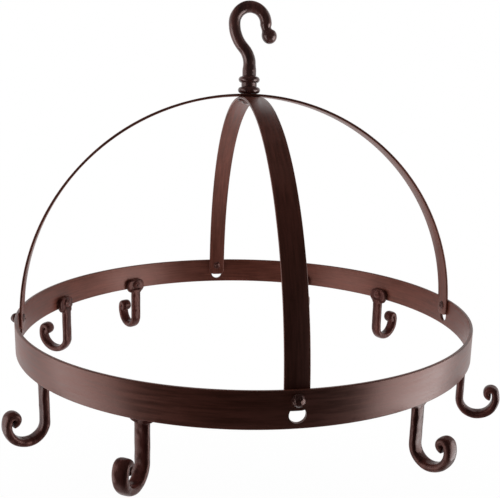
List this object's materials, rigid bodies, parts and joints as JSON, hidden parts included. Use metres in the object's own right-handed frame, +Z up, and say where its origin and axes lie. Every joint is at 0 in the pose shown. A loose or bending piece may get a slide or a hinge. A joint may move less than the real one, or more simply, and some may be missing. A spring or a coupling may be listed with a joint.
{
  "type": "herb drying rack",
  "caption": "Hanging iron crown rack for drying herbs: flat-bar hoop under crossed arches, an open swivelling hook on top and forged J hooks riveted round the hoop.",
  "frame": {"origin": "saddle of the hanging hook: the inner top of its bow, where it bears on what it hangs from", "axes": "+Z up along the swivel axis, +X along the upper arch, +Y along the lower arch"},
  "size_m": [0.3906, 0.3906, 0.3227],
  "materials": {
    "band_iron": "satin dark reddish-brown paint with faint lengthwise streaks",
    "hook_iron": "semi-gloss near-black brown paint over forged iron",
    "rivet_iron": "semi-gloss dark brown paint"
  },
  "bodies": {
    "hanger": {"hanging_hook": "hook_iron", "swivel_washer": "rivet_iron"},
    "rack": {"hoop": "band_iron", "upper_arch": "band_iron", "lower_arch": "band_iron", "foot_rivet_right": "rivet_iron", "foot_rivet_back": "rivet_iron", "foot_rivet_left": "rivet_iron", "foot_rivet_front": "rivet_iron", "herb_hook_1": "hook_iron", "herb_hook_2": "hook_iron", "herb_hook_3": "hook_iron", "herb_hook_4": "hook_iron", "herb_hook_5": "hook_iron", "herb_hook_6": "hook_iron", "herb_hook_7": "hook_iron", "herb_hook_8": "hook_iron", "hook_rivet_1": "rivet_iron", "hook_rivet_2": "rivet_iron", "hook_rivet_3": "rivet_iron", "hook_rivet_4": "rivet_iron", "hook_rivet_5": "rivet_iron", "hook_rivet_6": "rivet_iron", "hook_rivet_7": "rivet_iron", "hook_rivet_8": "rivet_iron"}
  },
  "joints": [
    {"name": "hook_swivel", "type": "hinge", "parent": "hanger", "child": "rack", "pos_m": [0, 0, 0], "axis": [0, 0, 1], "continuous": true}
  ]
}
